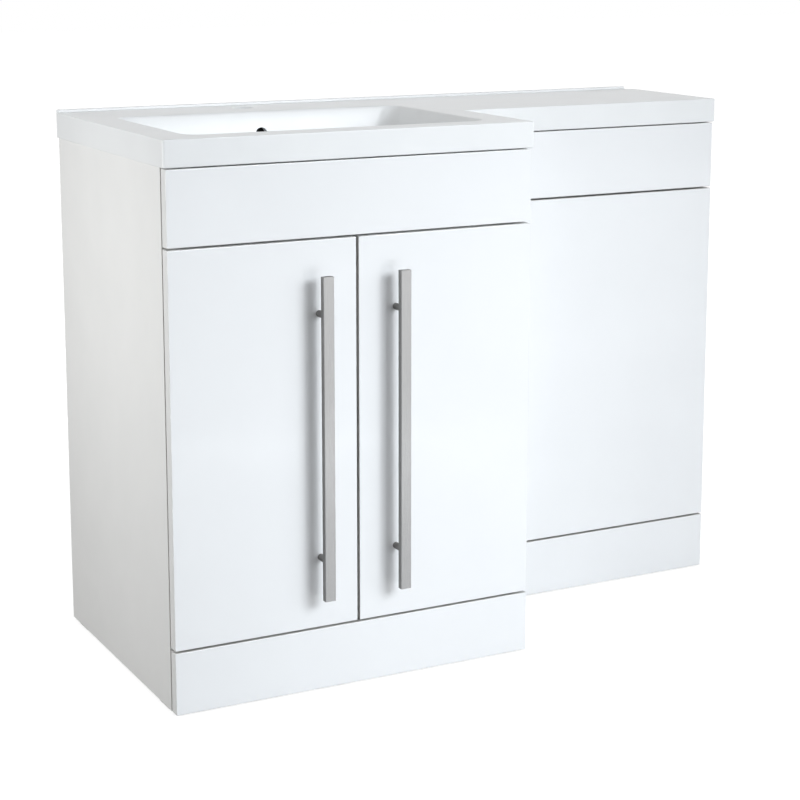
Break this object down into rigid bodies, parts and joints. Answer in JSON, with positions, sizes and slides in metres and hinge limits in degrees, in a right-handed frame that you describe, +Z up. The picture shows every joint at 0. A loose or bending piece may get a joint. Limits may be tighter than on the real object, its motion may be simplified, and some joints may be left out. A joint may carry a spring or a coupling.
{
  "type": "bathroom vanity unit",
  "caption": "Freestanding L-shaped vanity: basin cabinet with hinged doors and bar handles, beside a slim cistern cabinet, under a moulded top with a bowl.",
  "frame": {"origin": "on the floor, at the centre of the footprint, handles included", "axes": "+X to the right along the width, seen from the front; +Y to the wall behind; +Z up"},
  "size_m": [1.1, 0.513, 0.85],
  "materials": {
    "gloss_top": "glossy white cast resin",
    "gloss_front": "fibreboard with a glossy white lacquer",
    "carcass_board": "white faced chipboard, low sheen",
    "satin_metal": "satin brushed bars",
    "hinge_steel": "bright pressed steel",
    "zinc": "zinc plated",
    "white_plastic": "moulded",
    "dark_plastic": "moulded",
    "clear_rubber": "soft clear"
  },
  "bodies": {
    "cabinet": {"basin_top": "gloss_top", "overflow_duct": "dark_plastic", "left_side_panel": "carcass_board", "middle_side_panel": "carcass_board", "base_panel": "carcass_board", "shelf": "carcass_board", "shelf_pins": "zinc", "front_rail": "carcass_board", "rear_top_rail": "carcass_board", "rear_bottom_rail": "carcass_board", "plinth_rail": "carcass_board", "basin_fascia": "gloss_front", "basin_plinth": "gloss_front", "front_spacers": "white_plastic", "front_screws": "zinc", "hinge_plates": "hinge_steel", "hinge_arms": "hinge_steel", "hinge_plate_screws": "zinc", "hinge_arm_screws": "zinc", "cistern_left_panel": "carcass_board", "cistern_right_panel": "carcass_board", "cistern_top_rail": "carcass_board", "cistern_middle_rail": "carcass_board", "cistern_rear_rail": "carcass_board", "cistern_plinth_rail": "carcass_board", "cistern_front_panel": "gloss_front", "cistern_plinth": "gloss_front", "cabinet_bolts": "zinc", "glides": "dark_plastic", "cams": "zinc", "cam_bolts": "zinc", "clip_blocks": "carcass_board", "clip_sockets": "white_plastic"},
    "left_door_leaf": {"left_door": "gloss_front", "left_handle_bar": "satin_metal", "left_handle_posts": "satin_metal", "left_handle_screws": "zinc", "left_hinge_cups": "hinge_steel", "left_hinge_pins": "hinge_steel", "left_cup_screws": "zinc", "left_bumpers": "clear_rubber"},
    "right_door_leaf": {"right_door": "gloss_front", "right_handle_bar": "satin_metal", "right_handle_posts": "satin_metal", "right_handle_screws": "zinc", "right_hinge_cups": "hinge_steel", "right_hinge_pins": "hinge_steel", "right_cup_screws": "zinc", "right_bumpers": "clear_rubber"},
    "access_panel": {"access_fascia": "gloss_front", "clip_studs": "white_plastic", "clip_stud_screws": "zinc"}
  },
  "joints": [
    {"name": "left_door_hinge", "type": "hinge", "parent": "cabinet", "child": "left_door_leaf", "pos_m": [-0.5387, -0.2125, 0.395], "axis": [0, 0, -1], "range_deg": [0, 95]},
    {"name": "right_door_hinge", "type": "hinge", "parent": "cabinet", "child": "right_door_leaf", "pos_m": [0.0387, -0.2125, 0.395], "axis": [0, 0, 1], "range_deg": [0, 95]},
    {"name": "access_panel_pull", "type": "slide", "parent": "cabinet", "child": "access_panel", "axis": [0, -1, 0], "range_m": [0, 0.06]}
  ]
}
